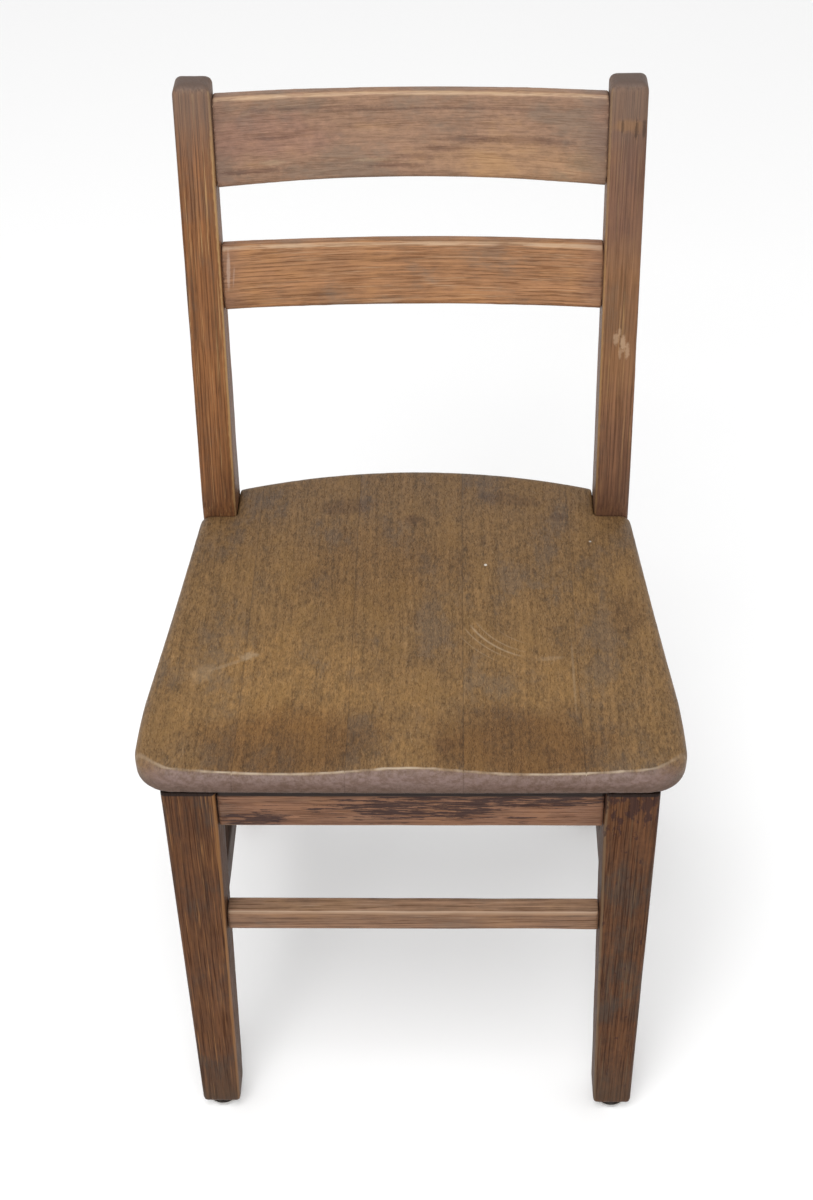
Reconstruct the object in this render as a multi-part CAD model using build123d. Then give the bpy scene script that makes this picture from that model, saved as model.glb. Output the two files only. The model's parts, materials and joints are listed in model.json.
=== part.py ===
from build123d import *

import os
from math import asin, atan, cos, degrees, exp, sin, sqrt

# A school chair in oak. Sizes are in millimetres. X runs across the chair, Y from its front to
# its back and Z up from the floor. While the pieces are made, Y is measured from the front faces
# of the front legs. The last step moves the origin to the middle of the footprint, on the floor.

# Seat: five boards glued edge to edge, hollowed on top for the sitter
seat_top = 446.0
seat_thickness = 26.0
seat_underside = seat_top - seat_thickness
seat_nose = -2.0                  # the front edge, on the chair's middle line
seat_front_end = -1.0             # the front edge, where the corners begin
seat_corner_radius = 32.0
seat_front_half_width = 216.5
seat_side_bend = 90.0             # from here back, the sides are straight
seat_side_half_width = 214.3
seat_back_half_width = 192.5
seat_back_middle = 388.0
seat_back_end = 362.0             # the back edge, where it meets the posts
seat_top_rounding = 11.0
seat_bottom_rounding = 4.0
glue_lines = (-138.0, -50.0, 42.0, 136.0)

# Hollows in the seat: a broad bowl, and a ridge between the legs that fades towards the back
bowl_depth = 10.3
bowl_half_width = 212.0
bowl_back = 335.0
bowl_full_from_back = 200.0
ridge_height = 8.3
ridge_spread = 56.0
ridge_back = 190.0

# Front legs: square down to the apron, then tapered on the two inner faces
leg_outer = 195.0
leg_width = 42.7
leg_depth = 42.9
leg_foot_width = 33.8
leg_foot_depth = 33.4
leg_rounding = 3.0
leg_foot_rounding = 6.5

# Back posts: each one sawn piece, upright at the seat, raked back above and below it
post_outer = 190.0                # at the top of the seat
post_outer_top = 187.6
post_width = 30.4
post_front = 317.6
post_depth = 39.1
post_top = 832.3
post_top_rake = 52.5
post_top_depth = 25.5
post_foot_rake = 46.0
post_foot_depth = 31.0
post_low_bend = 354.0
post_high_bend = 459.0
post_bend_radius = 150.0
post_rounding = 2.0
post_crown_radius = 8.0
post_foot_rounding = 1.5

# Back rails: bowed backwards between the posts, and raked like them
crest_low, crest_high = 745.4, 820.5
crest_bow = 14.0
crest_arch = 3.7                  # the lower edge of the crest rail is hollowed by this much
slat_low, slat_high = 639.4, 696.2
slat_bow = 10.5
rail_setback = 7.5
rail_thickness = 15.0
rail_bevel = 2.5
tenon_thickness = 9.0
tenon_length = 20.0
tenon_shoulder = 8.0
tenon_bevel = 1.0

# Aprons, just under the seat, and stretchers, near the floor
apron_bottom = 376.0
apron_thickness = 20.0
front_apron_setback = 6.0
side_apron_inner = 166.0
rear_apron_front = 331.0
apron_rounding = 1.5
stretcher_thickness = 18.0
stretcher_height = 22.3
front_stretcher_bottom = 246.6
front_stretcher_setback = 8.0
rear_stretcher_front = 340.0
side_stretcher_bottom = 214.0
side_stretcher_height = 30.0
side_stretcher_inner = 162.5
stretcher_rounding = 2.5

# Dowels
apron_dowel_radius = 4.75
apron_dowel_heights = (386.0, 410.0)
apron_dowel_in_rail = 25.0
front_dowel_in_leg = 25.0
side_dowel_in_leg = 20.0
side_dowel_in_post = 17.5
rear_dowel_in_post = 22.0
stretcher_dowel_radius = 4.0
stretcher_dowel_in_leg = 22.0
stretcher_dowel_in_rail = 25.0

# Corner blocks, inside the four corners of the aprons
block_bottom = 388.0
block_reach = 60.0
counterbore_radius = 4.5
block_screw_height = 398.0
block_screw_along = 38.0          # from the corner of the aprons, along each of them
block_screw_seat = 12.0           # the head's distance from the apron
seat_screw_inset = 20.0           # from the corner of the aprons, along each of them
seat_screw_head = 400.0
seat_screw_length = 33.0
block_screw_length = 26.0

# Hardware
screw_head_radius = 4.0
screw_head_rim = 1.0
screw_head_cone = 2.0
screw_shank_radius = 2.0
screw_tip = 4.0
screw_slot_width = 1.0
screw_slot_depth = 1.2
pin_head_radius = 2.2
pin_head_rim = 0.8
pin_radius = 1.2
pin_length = 16.0
pin_tip = 2.0
glide_radius = 14.0
glide_flat_radius = 8.0
glide_dome = 5.0                  # from the floor to the glide's widest place
glide_height = 6.5
glide_nail_radius = 1.5
glide_nail_length = 22.0
cushion_radius = 10.0
cushion_thickness = 3.5

# Worked out from the sizes above
post_lean = degrees(atan((post_outer - post_outer_top) / (post_top - seat_top)))
rake_angle = atan(post_top_rake / (post_top - post_high_bend))
clear_half_width = post_outer - post_width
foot_height = glide_height + cushion_thickness     # the wood starts this far off the floor
overlap = 8.0                     # how far a blank runs into the pieces that it is fitted between


def block(x_range, y_range, z_range):
    """A box from its lowest and highest X, Y and Z."""
    size = [high - low for low, high in (x_range, y_range, z_range)]
    corner = Pos(x_range[0], y_range[0], z_range[0])
    return corner * Box(*size, align=(Align.MIN, Align.MIN, Align.MIN))


def rod(start, direction, radius, length):
    """A round rod from a point, along a direction."""
    return extrude(Plane(start, z_dir=direction) * Circle(radius), amount=length)


def largest(shape):
    """The biggest solid of a shape."""
    return max(shape.solids(), key=lambda solid: solid.volume)


def fitted(blank, *neighbours):
    """The length of a blank that is left between its neighbours."""
    for neighbour in neighbours:
        blank = blank - neighbour
    return largest(blank)


def less(piece, *cutters):
    """A piece with holes for everything that is let into it."""
    for cutter in cutters:
        piece = piece - cutter
    return piece


def mirrored(shape):
    """The same piece for the other side of the chair."""
    return mirror(shape, about=Plane.YZ)


def smoothstep(t):
    """0 below 0, 1 above 1, and a smooth rise between."""
    t = min(1.0, max(0.0, t))
    return t * t * (3.0 - 2.0 * t)


def saddle_depth(x, y):
    """How far the seat is hollowed below its top."""
    bowl = bowl_depth * max(0.0, 1.0 - (abs(x) / bowl_half_width) ** 4)
    bowl *= smoothstep((bowl_back - y) / bowl_full_from_back)
    ridge = ridge_height * exp(-((x / ridge_spread) ** 2)) * smoothstep((ridge_back - y) / ridge_back)
    return max(0.0, bowl - ridge)


def saddle_surface():
    """The seat's sculpted top, as a spline face larger than the seat."""
    margin = 30.0
    columns = rows = 27
    half_width = seat_front_half_width + margin
    depth = seat_back_middle - seat_nose + 2 * margin
    points = []
    for row in range(rows):
        y = seat_nose - margin + depth * row / (rows - 1)
        line = []
        for column in range(columns):
            x = half_width * (2.0 * column / (columns - 1) - 1.0)
            line.append(Vector(x, y, seat_top - saddle_depth(x, y)))
        points.append(line)
    return Face.make_surface_from_array_of_points(points, tol=0.05)


def seat_outline():
    """The seat from above, with a notch for each post in its back corners."""
    corner_start = seat_front_half_width - seat_corner_radius
    corner_centre = (corner_start, seat_front_end + seat_corner_radius)
    diagonal = seat_corner_radius * sqrt(0.5)
    corner_middle = (corner_centre[0] + diagonal, corner_centre[1] - diagonal)
    corner_end = (seat_front_half_width, corner_centre[1])
    side_run = (seat_back_half_width - seat_side_half_width, post_front - seat_side_bend)
    with BuildSketch() as sketch:
        with BuildLine():
            ThreePointArc((-corner_start, seat_front_end), (0, seat_nose), (corner_start, seat_front_end))
            corner = ThreePointArc((corner_start, seat_front_end), corner_middle, corner_end)
            bend = Spline(corner_end, (seat_side_half_width, seat_side_bend), tangents=[(0, 1), side_run])
            side = Line((seat_side_half_width, seat_side_bend), (seat_back_half_width, post_front))
            notch_front = Line((seat_back_half_width, post_front), (clear_half_width, post_front))
            notch_side = Line((clear_half_width, post_front), (clear_half_width, seat_back_end))
            back_end = (clear_half_width, seat_back_end)
            ThreePointArc(back_end, (0, seat_back_middle), (-clear_half_width, seat_back_end))
            mirror([corner, bend, side, notch_front, notch_side], about=Plane.YZ)
        make_face()
    return sketch.sketch


def whole_seat():
    """The seat in one piece: hollowed, then rounded over all round except in the notches."""
    seat = Pos(0, 0, seat_underside) * extrude(seat_outline(), amount=seat_thickness + 1.0)
    seat = largest(seat - extrude(saddle_surface(), amount=seat_thickness, dir=(0, 0, 1)))

    def in_notch(edge):
        return edge.center().Y > post_front - 1.0 and abs(edge.center().X) > clear_half_width - 1.0

    def on_underside(edge):
        return edge.bounding_box().max.Z < seat_underside + 0.01

    def upright(edge):
        return abs((edge @ 1).Z - (edge @ 0).Z) > seat_thickness / 2

    rim = [e for e in seat.edges() if not (in_notch(e) or on_underside(e) or upright(e))]
    seat = fillet(rim, seat_top_rounding)
    rim = [e for e in seat.edges() if on_underside(e) and not in_notch(e)]
    return fillet(rim, seat_bottom_rounding)


def seat_boards(seat):
    """The seat, sawn along its glue lines."""
    far = 2 * seat_front_half_width
    limits = (-far, *glue_lines, far)
    boards = []
    for left, right in zip(limits, limits[1:]):
        slab = block((left, right), (-far, far * 2), (0, post_top))
        boards.append(largest(seat & slab))
    return boards


def front_leg():
    """The right front leg."""

    def section(width, depth, height):
        return Pos(leg_outer - width / 2, depth / 2, height) * Rectangle(width, depth)

    taper = loft([section(leg_foot_width, leg_foot_depth, foot_height),
                  section(leg_width, leg_depth, apron_bottom)])
    head = extrude(section(leg_width, leg_depth, apron_bottom), amount=seat_underside - apron_bottom)
    leg = taper + head
    sole = leg.faces().sort_by(Axis.Z)[0]
    leg = fillet(sole.edges(), leg_foot_rounding)
    long_edges = [e for e in leg.edges() if abs(e.tangent_at(0.5).Z) > 0.9]
    return largest(fillet(long_edges, leg_rounding))


def back_post():
    """The right back post: a dog-leg outline seen from the side, crowned, and leaning in a little."""
    front = [(post_front + post_foot_rake, 0), (post_front, post_low_bend),
             (post_front, post_high_bend), (post_front + post_top_rake, post_top)]
    depths = (post_foot_depth, post_depth, post_depth, post_top_depth)
    back = [(y + depth, z) for (y, z), depth in zip(front, depths)]
    outline = make_face(Polyline(*front, *reversed(back), close=True))
    bends = [v for v in outline.vertices() if post_low_bend - 1 < v.Y < post_high_bend + 1]
    outline = fillet(bends, post_bend_radius)
    crown = [v for v in outline.vertices() if v.Y > post_top - 1]
    outline = fillet(crown, post_crown_radius)
    post = Pos(post_outer - post_width, 0, 0) * extrude(Plane.YZ * outline, amount=post_width)

    elevation = Pos(post_outer - post_width / 2, post_top / 2) * Rectangle(post_width, post_top)
    crown = [v for v in elevation.vertices() if v.Y > post_top - 1]
    elevation = fillet(crown, post_crown_radius)
    reach = post_front + post_top_rake + post_depth + overlap
    post = largest(post & extrude(Plane.XZ * elevation, amount=-reach))

    below_crown = post_top - 2 * post_crown_radius
    long_edges = [e for e in post.edges()
                  if abs(e.tangent_at(0.5).Z) > 0.9 and e.center().Z < below_crown]
    post = fillet(long_edges, post_rounding)
    pivot = Pos(post_outer, 0, seat_top)
    post = pivot * Rot(0, -post_lean, 0) * pivot.inverse() * post
    below_foot = block((0, 2 * post_outer), (0, 2 * post_front), (-overlap, foot_height))
    post = largest(post - below_foot)
    sole = post.faces().sort_by(Axis.Z)[0]
    return largest(fillet(sole.edges(), post_foot_rounding))


def post_front_at(height):
    """The Y of the posts' front faces, above the seat."""
    return post_front + post_top_rake * (height - post_high_bend) / (post_top - post_high_bend)


def rail_frame(height):
    """A plane across the back at a height, square to the raked posts."""
    along = (0, sin(rake_angle), cos(rake_angle))
    return Plane((0, post_front_at(height), height), x_dir=(1, 0, 0), z_dir=along)


def bowed_bar(frame, half_length, setback, thickness, height, bow, bevel):
    """A bar with a bevelled section, along an arc that bows backwards between the posts."""
    radius = (clear_half_width ** 2 + bow ** 2) / (2 * bow)
    half_turn = degrees(asin(half_length / radius))
    section = Rectangle(thickness, height)
    section = Pos(radius + thickness / 2, height / 2) * chamfer(section.vertices(), bevel)
    turned = revolve(Plane.XZ * section, Axis.Z, 2 * half_turn)
    return frame.location * Pos(0, setback + bow - radius, 0) * Rot(0, 0, 90 - half_turn) * turned


def arched_below(bar, frame, rise):
    """A bowed bar with its lower edge sawn to a shallow arch that springs from the posts."""
    radius = (clear_half_width ** 2 + rise ** 2) / (2 * rise)
    arch = frame.location * Pos(0, 0, rise - radius) * Rot(90, 0, 0) * Cylinder(radius, radius)
    bar = largest(bar - arch)

    def along_arch(edge):
        return edge.length > clear_half_width and frame.to_local_coords(edge @ 0.5).Z < rise + 0.01

    return chamfer([e for e in bar.edges() if along_arch(e)], rail_bevel)


def back_rail(low, high, bow, arch, posts):
    """A bowed rail between the posts, with a tenon in each of them."""
    frame = rail_frame(low)
    height = (high - low) / cos(rake_angle)
    spare = 2 * rail_bevel if arch else 0.0
    blank_frame = Plane(frame.location * Pos(0, 0, -spare))
    blank = bowed_bar(blank_frame, clear_half_width + overlap, rail_setback,
                      rail_thickness, height + spare, bow, rail_bevel)
    if arch:
        blank = arched_below(blank, frame, arch)
    inset = rail_setback + (rail_thickness - tenon_thickness) / 2
    shoulder = low + tenon_shoulder * cos(rake_angle)
    tongue = bowed_bar(rail_frame(shoulder), clear_half_width + tenon_length, inset,
                       tenon_thickness, height - 2 * tenon_shoulder, bow, tenon_bevel)
    return largest(fitted(blank, *posts) + tongue)


def cross_rail(y_range, z_range, ends, rounding):
    """A straight rail across the chair, fitted between two legs."""
    reach = clear_half_width + overlap
    rail = fitted(block((-reach, reach), y_range, z_range), *ends)
    return fillet([e for e in rail.edges() if e.length > clear_half_width], rounding)


def side_rail(x_range, z_range, ends, rounding):
    """A straight rail along the right side of the chair, from the front leg to the post."""
    y_range = (leg_foot_depth - overlap, post_front + post_foot_rake / 2)
    rail = fitted(block(x_range, y_range, z_range), *ends)
    return fillet([e for e in rail.edges() if e.length > clear_half_width], rounding)


def screw(start, direction, length):
    """A slotted countersunk wood screw. It starts at the top of its head."""
    cone_end = screw_head_rim + screw_head_cone
    profile = Polyline((0, 0), (screw_head_radius, 0), (screw_head_radius, screw_head_rim),
                       (screw_shank_radius, cone_end), (screw_shank_radius, length - screw_tip),
                       (0, length), close=True)
    body = revolve(Plane.XZ * make_face(profile), Axis.Z)
    return Plane(start, z_dir=direction) * body


def screw_slot(start, direction):
    """The driver slot in the head of a screw."""
    slot = block((-screw_head_radius, screw_head_radius),
                 (-screw_slot_width / 2, screw_slot_width / 2), (0, screw_slot_depth))
    return Plane(start, z_dir=direction) * slot


def rail_pin(height):
    """A nail from the back of the right post, into the tenon of a back rail."""
    t = (height - post_high_bend) / (post_top - post_high_bend)
    depth = post_depth + (post_top_depth - post_depth) * t
    start = (clear_half_width + tenon_length / 2, post_front_at(height) + depth, height)
    profile = Polyline((0, 0), (pin_head_radius, 0), (pin_head_radius, pin_head_rim),
                       (pin_radius, pin_head_rim), (pin_radius, pin_length - pin_tip),
                       (0, pin_length), close=True)
    body = revolve(Plane.XZ * make_face(profile), Axis.Z)
    back_rake = atan((post_top_rake + post_top_depth - post_depth) / (post_top - post_high_bend))
    return Plane(start, z_dir=(0, -cos(back_rake), sin(back_rake))) * body


def glide(x, y):
    """A steel glide under a foot: a domed cup with a flat sole, and its nail."""
    dome = TangentArc((glide_flat_radius, 0), (glide_radius, glide_dome), tangent=(1, 0))
    nail_end = glide_height + glide_nail_length
    nail = Polyline((glide_radius, glide_dome), (glide_radius, glide_height),
                    (glide_nail_radius, glide_height),
                    (glide_nail_radius, nail_end - 2 * glide_nail_radius),
                    (0, nail_end), (0, 0), (glide_flat_radius, 0))
    profile = make_face([dome, nail])
    return Pos(x, y, 0) * revolve(Plane.XZ * profile, Axis.Z)


def cushion(x, y):
    """The rubber washer between a glide and its foot."""
    washer = Circle(cushion_radius) - Circle(glide_nail_radius)
    return Pos(x, y, glide_height) * extrude(washer, amount=cushion_thickness)


# The frame
leg_right = front_leg()
leg_left = mirrored(leg_right)
post_right = back_post()
post_left = mirrored(post_right)
legs = (leg_left, leg_right)
posts = (post_left, post_right)
right_side = (leg_right, post_right)

crest_rail = back_rail(crest_low, crest_high, crest_bow, crest_arch, posts)
lower_slat = back_rail(slat_low, slat_high, slat_bow, 0.0, posts)

apron_z = (apron_bottom, seat_underside)
front_apron_y = (front_apron_setback, front_apron_setback + apron_thickness)
rear_apron_y = (rear_apron_front, rear_apron_front + apron_thickness)
side_apron_x = (side_apron_inner, side_apron_inner + apron_thickness)
front_apron = cross_rail(front_apron_y, apron_z, legs, apron_rounding)
rear_apron = cross_rail(rear_apron_y, apron_z, posts, apron_rounding)
side_apron = side_rail(side_apron_x, apron_z, right_side, apron_rounding)

cross_stretcher_z = (front_stretcher_bottom, front_stretcher_bottom + stretcher_height)
front_stretcher_y = (front_stretcher_setback, front_stretcher_setback + stretcher_thickness)
rear_stretcher_y = (rear_stretcher_front, rear_stretcher_front + stretcher_thickness)
side_stretcher_z = (side_stretcher_bottom, side_stretcher_bottom + side_stretcher_height)
side_stretcher_x = (side_stretcher_inner, side_stretcher_inner + stretcher_thickness)
front_stretcher = cross_rail(front_stretcher_y, cross_stretcher_z, legs, stretcher_rounding)
rear_stretcher = cross_rail(rear_stretcher_y, cross_stretcher_z, posts, stretcher_rounding)
side_stretcher = side_rail(side_stretcher_x, side_stretcher_z, right_side, stretcher_rounding)


def cross_dowel(rail, height, in_end, in_rail, radius):
    """A dowel across the chair, from the right end of a cross rail into its leg."""
    middle = rail.bounding_box().center().Y
    end = rail.bounding_box().max.X
    return rod((end - in_rail, middle, height), (1, 0, 0), radius, in_rail + in_end)


def side_dowel(rail, height, at_back, in_end, in_rail, radius):
    """A dowel along the chair, from one end of a right side rail into its leg or post."""
    box = rail.bounding_box()
    start = box.max.Y - in_rail if at_back else box.min.Y - in_end
    return rod((box.center().X, start, height), (0, 1, 0), radius, in_rail + in_end)


def middle_height(rail):
    return rail.bounding_box().center().Z


leg_dowels = []
post_dowels = []
for height in apron_dowel_heights:
    size = (apron_dowel_in_rail, apron_dowel_radius)
    leg_dowels.append(cross_dowel(front_apron, height, front_dowel_in_leg, *size))
    leg_dowels.append(side_dowel(side_apron, height, False, side_dowel_in_leg, *size))
    post_dowels.append(cross_dowel(rear_apron, height, rear_dowel_in_post, *size))
    post_dowels.append(side_dowel(side_apron, height, True, side_dowel_in_post, *size))

size = (stretcher_dowel_in_leg, stretcher_dowel_in_rail, stretcher_dowel_radius)
stretcher_dowels = [
    cross_dowel(front_stretcher, middle_height(front_stretcher), *size),
    cross_dowel(rear_stretcher, middle_height(rear_stretcher), *size),
    side_dowel(side_stretcher, middle_height(side_stretcher), False, *size),
    side_dowel(side_stretcher, middle_height(side_stretcher), True, *size),
]
dowels = leg_dowels + post_dowels + stretcher_dowels


def corner_block(corner_y, inward, frame):
    """A block in a right corner of the aprons, cut round the leg or post there."""
    outline = Polyline((side_apron_inner, corner_y), (side_apron_inner - block_reach, corner_y),
                       (side_apron_inner, corner_y + inward * block_reach), close=True)
    blank = Pos(0, 0, block_bottom) * extrude(make_face(outline), amount=seat_underside - block_bottom)
    return fitted(blank, *frame)


def corner_screws(corner_y, inward):
    """Where a corner block's screws start and point: into the cross apron, the side apron, the seat."""
    across = (side_apron_inner - block_screw_along, corner_y + inward * block_screw_seat,
              block_screw_height)
    along = (side_apron_inner - block_screw_seat, corner_y + inward * block_screw_along,
             block_screw_height)
    up = (side_apron_inner - seat_screw_inset, corner_y + inward * seat_screw_inset, seat_screw_head)
    return [(across, (0, -inward, 0)), (along, (1, 0, 0)), (up, (0, 0, 1))]


front_corner = (front_apron_y[1], 1)
rear_corner = (rear_apron_y[0], -1)
blocks = {}
block_screws = []
seat_screws = []
slots = []
for name, corner, post_or_leg in (("front", front_corner, leg_right), ("rear", rear_corner, post_right)):
    corner_piece = corner_block(*corner, (post_or_leg,))
    for start, direction in corner_screws(*corner):
        upright = direction[2] == 1
        length = seat_screw_length if upright else block_screw_length
        fastener = screw(start, direction, length)
        backwards = tuple(-component for component in direction)
        counterbore = rod(start, backwards, counterbore_radius, block_reach)
        corner_piece = less(corner_piece, fastener, counterbore)
        slots.append(screw_slot(start, direction))
        if upright:
            seat_screws.append(fastener)
        else:
            block_screws.append(fastener)
    blocks[name] = largest(corner_piece)

rail_pins = [rail_pin((crest_low + crest_high) / 2), rail_pin((slat_low + slat_high) / 2)]

leg_foot_centre = (leg_outer - leg_foot_width / 2, leg_foot_depth / 2)
post_foot = post_right.faces().sort_by(Axis.Z)[0].center()
feet = {"front": leg_foot_centre, "rear": (post_foot.X, post_foot.Y)}
glides = {name: glide(*centre) for name, centre in feet.items()}
cushions = {name: cushion(*centre) for name, centre in feet.items()}

# Holes for what is let into each piece
leg_right = less(leg_right, *dowels, glides["front"])
post_right = less(post_right, *dowels, crest_rail, lower_slat, *rail_pins, glides["rear"])
side_apron = less(side_apron, *dowels, *block_screws)
side_stretcher = less(side_stretcher, *dowels)


def less_both_sides(piece, *cutters):
    """A piece across the chair, with holes at both its ends."""
    return less(piece, *cutters, *[mirrored(cutter) for cutter in cutters])


front_apron = less_both_sides(front_apron, *dowels, *block_screws)
rear_apron = less_both_sides(rear_apron, *dowels, *block_screws)
front_stretcher = less_both_sides(front_stretcher, *dowels)
rear_stretcher = less_both_sides(rear_stretcher, *dowels)
crest_rail = less_both_sides(crest_rail, *rail_pins)
lower_slat = less_both_sides(lower_slat, *rail_pins)
seat = less_both_sides(whole_seat(), *seat_screws)
block_screws = [less(fastener, *slots) for fastener in block_screws]
seat_screws = [less(fastener, *slots) for fastener in seat_screws]


def both(shapes):
    """One group of solids: the pieces of the right side and of the left."""
    return Compound([largest(s) for s in shapes] + [largest(mirrored(s)) for s in shapes])


nodes = {
    "front_leg_right": leg_right,
    "front_leg_left": mirrored(leg_right),
    "back_post_right": post_right,
    "back_post_left": mirrored(post_right),
    "crest_rail": crest_rail,
    "lower_slat": lower_slat,
    "front_apron": front_apron,
    "rear_apron": rear_apron,
    "side_apron_right": side_apron,
    "side_apron_left": mirrored(side_apron),
    "front_stretcher": front_stretcher,
    "rear_stretcher": rear_stretcher,
    "side_stretcher_right": side_stretcher,
    "side_stretcher_left": mirrored(side_stretcher),
    "front_leg_dowels": both(leg_dowels),
    "back_post_dowels": both(post_dowels),
    "stretcher_dowels": both(stretcher_dowels),
    "back_rail_pins": both(rail_pins),
    "corner_block_screws": both(block_screws),
    "seat_screws": both(seat_screws),
}
board_names = ("left_outer", "left_inner", "middle", "right_inner", "right_outer")
for name, board in zip(board_names, seat_boards(seat)):
    nodes["seat_board_" + name] = board
for name, piece in blocks.items():
    nodes[f"corner_block_{name}_right"] = piece
    nodes[f"corner_block_{name}_left"] = mirrored(piece)
for kind, pieces in (("glide", glides), ("glide_cushion", cushions)):
    for name, piece in pieces.items():
        nodes[f"{kind}_{name}_right"] = piece
        nodes[f"{kind}_{name}_left"] = mirrored(piece)

boxes = [shape.bounding_box() for shape in nodes.values()]
front_end = min(box.min.Y for box in boxes)
back_end = max(box.max.Y for box in boxes)
to_origin = Pos(0, -(front_end + back_end) / 2, 0)

os.makedirs("parts", exist_ok=True)
for name, shape in nodes.items():
    export_step(to_origin * shape, f"parts/{name}.step")
print("front edge at", round(front_end, 2), "back edge at", round(back_end, 2))
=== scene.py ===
import json
from math import cos, radians, sin

import bmesh
import bpy
import numpy as np
from mathutils import Matrix, Vector, noise


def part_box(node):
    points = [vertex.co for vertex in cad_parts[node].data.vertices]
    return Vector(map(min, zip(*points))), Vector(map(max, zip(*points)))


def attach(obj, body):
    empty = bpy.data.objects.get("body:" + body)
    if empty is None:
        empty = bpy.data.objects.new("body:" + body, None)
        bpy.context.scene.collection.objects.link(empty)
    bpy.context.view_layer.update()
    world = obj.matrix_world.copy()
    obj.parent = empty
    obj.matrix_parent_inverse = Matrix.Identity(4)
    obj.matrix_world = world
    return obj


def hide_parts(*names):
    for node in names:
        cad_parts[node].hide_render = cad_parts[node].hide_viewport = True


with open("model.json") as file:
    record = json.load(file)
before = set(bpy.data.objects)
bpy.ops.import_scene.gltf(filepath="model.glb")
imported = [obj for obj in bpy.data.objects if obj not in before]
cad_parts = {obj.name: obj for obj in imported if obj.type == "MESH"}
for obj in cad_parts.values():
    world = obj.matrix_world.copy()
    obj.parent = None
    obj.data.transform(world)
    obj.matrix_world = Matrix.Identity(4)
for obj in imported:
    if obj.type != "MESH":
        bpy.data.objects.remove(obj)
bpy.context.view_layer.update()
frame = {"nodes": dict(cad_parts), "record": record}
nodes = frame["nodes"]

MM = 0.001


# ---------------------------------------------------------------------------------------------
# Camera, floor and light

EYE = Vector((0.0328, -1.2335, 1.5080))
HEADING = -1.785          # degrees, clockwise from +Y seen from above
DOWNWARDS = 40.72         # degrees below the horizon
ROLL = 1.199              # degrees
SENSOR_HEIGHT = 36.0      # millimetres
LENS = 57.68              # millimetres

FLOOR_SHADE = 0.96
FLOOR_HALF = 12.0         # metres from the middle of the floor to its edge
SKY_STRENGTH = 0.86
LIT_POINT = (0.0, 0.0, 0.45)
LAMPS = [                 # name, place, size in metres and power in watts
    ("key", (-0.25, -1.15, 2.5), 1.2, 30.0),
    ("front", (-0.6, -2.7, 1.7), 1.6, 20.0),
]


def add_camera():
    """The camera, at the viewing angle of the reference."""
    heading, down, roll = radians(HEADING), radians(DOWNWARDS), radians(ROLL)
    right = Vector((cos(heading), -sin(heading), 0.0))
    level = Vector((sin(heading), cos(heading), 0.0))
    up = Vector((0.0, 0.0, 1.0))
    forward = cos(down) * level - sin(down) * up
    upwards = sin(down) * level + cos(down) * up
    side = cos(roll) * right - sin(roll) * upwards
    top = sin(roll) * right + cos(roll) * upwards
    data = bpy.data.cameras.new("camera")
    data.sensor_fit = "VERTICAL"
    data.sensor_height = SENSOR_HEIGHT
    data.lens = LENS
    camera = bpy.data.objects.new("camera", data)
    axes = Matrix((side, top, -forward)).transposed()
    camera.matrix_world = Matrix.Translation(EYE) @ axes.to_4x4()
    bpy.context.scene.collection.objects.link(camera)
    bpy.context.scene.camera = camera


def add_floor():
    """A plain pale floor."""
    material = bpy.data.materials.new("studio_floor")
    material.use_nodes = True
    shader = material.node_tree.nodes["Principled BSDF"]
    shader.inputs["Base Color"].default_value = (FLOOR_SHADE, FLOOR_SHADE, FLOOR_SHADE, 1.0)
    shader.inputs["Roughness"].default_value = 0.9
    half = FLOOR_HALF
    corners = [(-half, -half, 0.0), (half, -half, 0.0), (half, half, 0.0), (-half, half, 0.0)]
    mesh = bpy.data.meshes.new("studio_floor")
    mesh.from_pydata(corners, [], [(0, 1, 2, 3)])
    mesh.materials.append(material)
    floor = bpy.data.objects.new("studio_floor", mesh)
    bpy.context.scene.collection.objects.link(floor)


def add_sky():
    """Even white light from all around, shown without a change of tone."""
    world = bpy.data.worlds.new("studio")
    world.use_nodes = True
    background = world.node_tree.nodes["Background"]
    background.inputs["Color"].default_value = (1.0, 1.0, 1.0, 1.0)
    background.inputs["Strength"].default_value = SKY_STRENGTH
    bpy.context.scene.world = world
    bpy.context.scene.view_settings.view_transform = "Standard"


def add_lamps():
    """Soft square lamps, turned towards the chair."""
    for name, place, size, power in LAMPS:
        data = bpy.data.lights.new(name, "AREA")
        data.shape = "SQUARE"
        data.size = size
        data.energy = power
        lamp = bpy.data.objects.new(name, data)
        lamp.location = place
        lamp.rotation_euler = (Vector(LIT_POINT) - Vector(place)).to_track_quat("-Z", "Y").to_euler()
        bpy.context.scene.collection.objects.link(lamp)


# ---------------------------------------------------------------------------------------------
# Worn wood, as geometry

TOUCHING = 0.01           # mm: faces closer than this to a plane lie on it
FAR = 1.0                 # metres: past either side of the seat

ROUNDING_ROUNDS = 2       # rounds of smoothing that take the sharpness off the arrises
LEVELLING_ROUNDS = 14     # rounds after which an arris is levelled with its faces
ARRIS_HEIGHT = 0.55       # mm, from the levelled surface to a full arris
CHIP_LIMIT = 0.05         # noise below this leaves the arris whole
CHIP_SIZES = {"X": (60, 9, 9), "Y": (9, 60, 9), "Z": (9, 9, 60)}   # mm, by the way of the grain
BROAD = 5.0               # the size of the dips in the faces, over that of the chips


def joined(sources):
    """The meshes of several CAD nodes in one, in the frame's coordinates."""
    work = bmesh.new()
    for source in sources:
        part = source.data.copy()
        part.transform(source.matrix_world)
        work.from_mesh(part)
        bpy.data.meshes.remove(part)
    return work


def without_glue_faces(work, planes):
    """Takes out the faces that lie on the planes where the seat boards meet."""

    def lies_on(face, plane):
        return all(abs(vertex.co.x - plane) < TOUCHING * MM for vertex in face.verts)

    inside = [face for face in work.faces if any(lies_on(face, plane) for plane in planes)]
    bmesh.ops.delete(work, geom=inside, context="FACES")


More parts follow.
